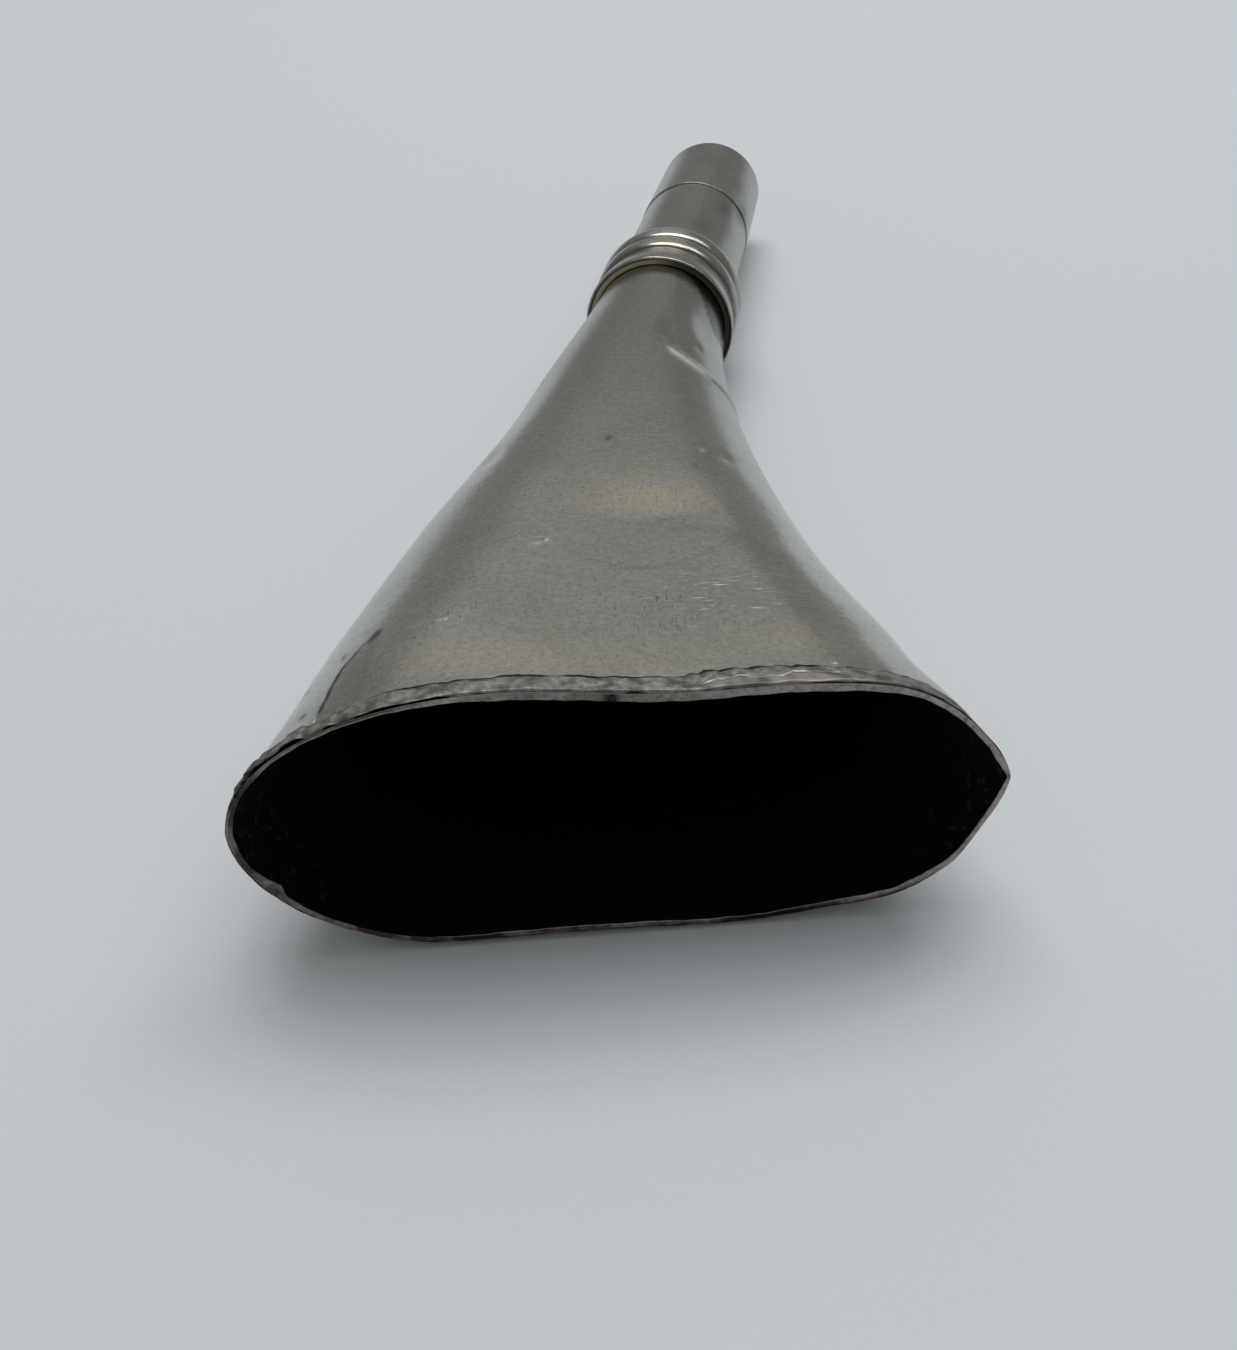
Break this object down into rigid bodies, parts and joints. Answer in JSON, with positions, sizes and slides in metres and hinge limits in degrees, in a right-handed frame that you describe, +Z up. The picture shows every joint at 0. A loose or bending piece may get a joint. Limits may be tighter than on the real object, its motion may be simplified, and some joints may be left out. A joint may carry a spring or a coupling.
{
  "type": "hunting horn",
  "caption": "Flattened, curved sheet-metal hunting horn with a banded oval bell, a beaded ferrule and a pull-off tube mouthpiece over a beating reed.",
  "frame": {"origin": "on the surface that the horn lies on, under the centre of its bounding box", "axes": "+Y from the mouth of the bell to the mouthpiece, +X to the inner side of the bend, +Z up"},
  "size_m": [0.065, 0.1424, 0.0272],
  "materials": {
    "nickel_silver": "old satin sheet, tarnished",
    "soft_solder": "tinned with soft solder, dull and uneven",
    "turned_brass": "turned",
    "spring_brass": "rolled strip",
    "boxwood": "cut, bare"
  },
  "bodies": {
    "horn": {"bell_body": "nickel_silver", "rim_band": "soft_solder", "neck_tenon": "turned_brass"},
    "mouthpiece": {"barrel": "nickel_silver", "tip_sleeve": "nickel_silver", "ferrule": "nickel_silver"},
    "reed_unit": {"reed_block": "turned_brass", "shallot": "turned_brass", "reed_wedge": "boxwood"},
    "tongue": {"reed_tongue": "spring_brass"}
  },
  "joints": [
    {"name": "mouthpiece_pull", "type": "slide", "parent": "horn", "child": "mouthpiece", "axis": [0.2504, 0.9672, -0.0424], "range_m": [0, 0.046]},
    {"name": "reed_pull", "type": "slide", "parent": "horn", "child": "reed_unit", "axis": [0.2504, 0.9672, -0.0424], "range_m": [0, 0.008]},
    {"name": "tongue_beat", "type": "hinge", "parent": "reed_unit", "child": "tongue", "pos_m": [0.01686, 0.04194, 0.00985], "axis": [0.9681, -0.2501, 0.011], "range_deg": [-3.2, 0.8], "stiffness_Nm_per_rad": 0.1}
  ]
}
